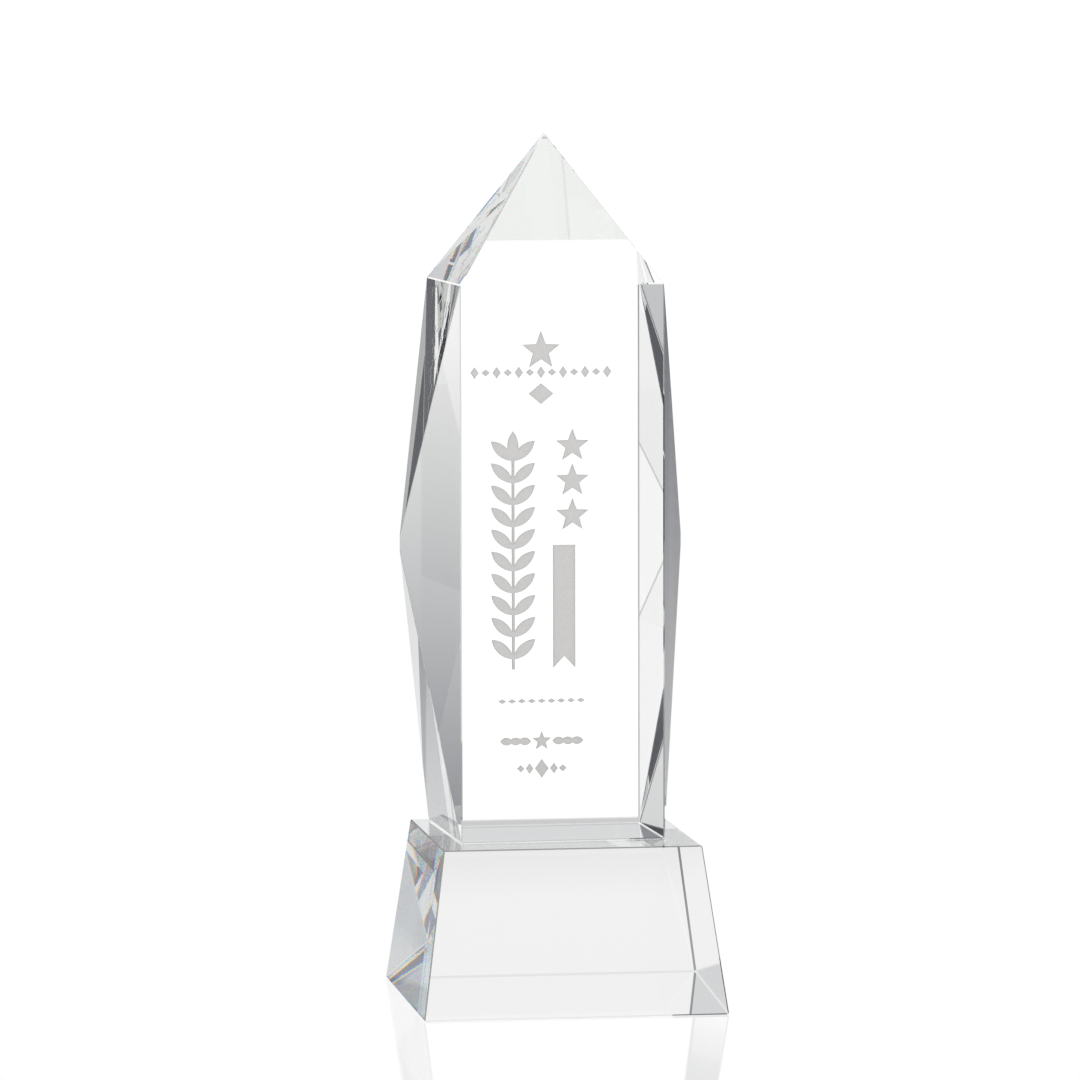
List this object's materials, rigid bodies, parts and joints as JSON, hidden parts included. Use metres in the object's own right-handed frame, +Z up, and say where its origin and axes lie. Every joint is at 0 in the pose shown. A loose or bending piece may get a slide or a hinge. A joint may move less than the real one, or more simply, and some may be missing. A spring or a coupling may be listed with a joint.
{
  "type": "crystal award",
  "caption": "Clear crystal tower award with a pyramid tip and faceted sides, bonded to a tapered crystal block, with grey-filled carved ornaments on its front.",
  "frame": {"origin": "centre of the square underside of the base, on the surface the award stands on", "axes": "+Z up, the award's longest direction; the front face with the ornaments looks towards -Y; +X is to the right seen from the front"},
  "size_m": [0.0888, 0.0888, 0.2537],
  "materials": {
    "base_crystal": "polished optical crystal",
    "tower_crystal": "polished optical crystal",
    "bond_adhesive": "clear ultraviolet-cured adhesive",
    "etch_fill": "matte light grey fill on a sand-carved floor"
  },
  "bodies": {
    "root": {"crystal_base": "base_crystal", "bond_film": "bond_adhesive", "crystal_tower": "tower_crystal", "emblem_fill": "etch_fill", "heading_fill": "etch_fill", "laurel_fill": "etch_fill", "stars_fill": "etch_fill", "ribbon_fill": "etch_fill", "rule_fill": "etch_fill", "dedication_fill": "etch_fill"}
  },
  "joints": []
}
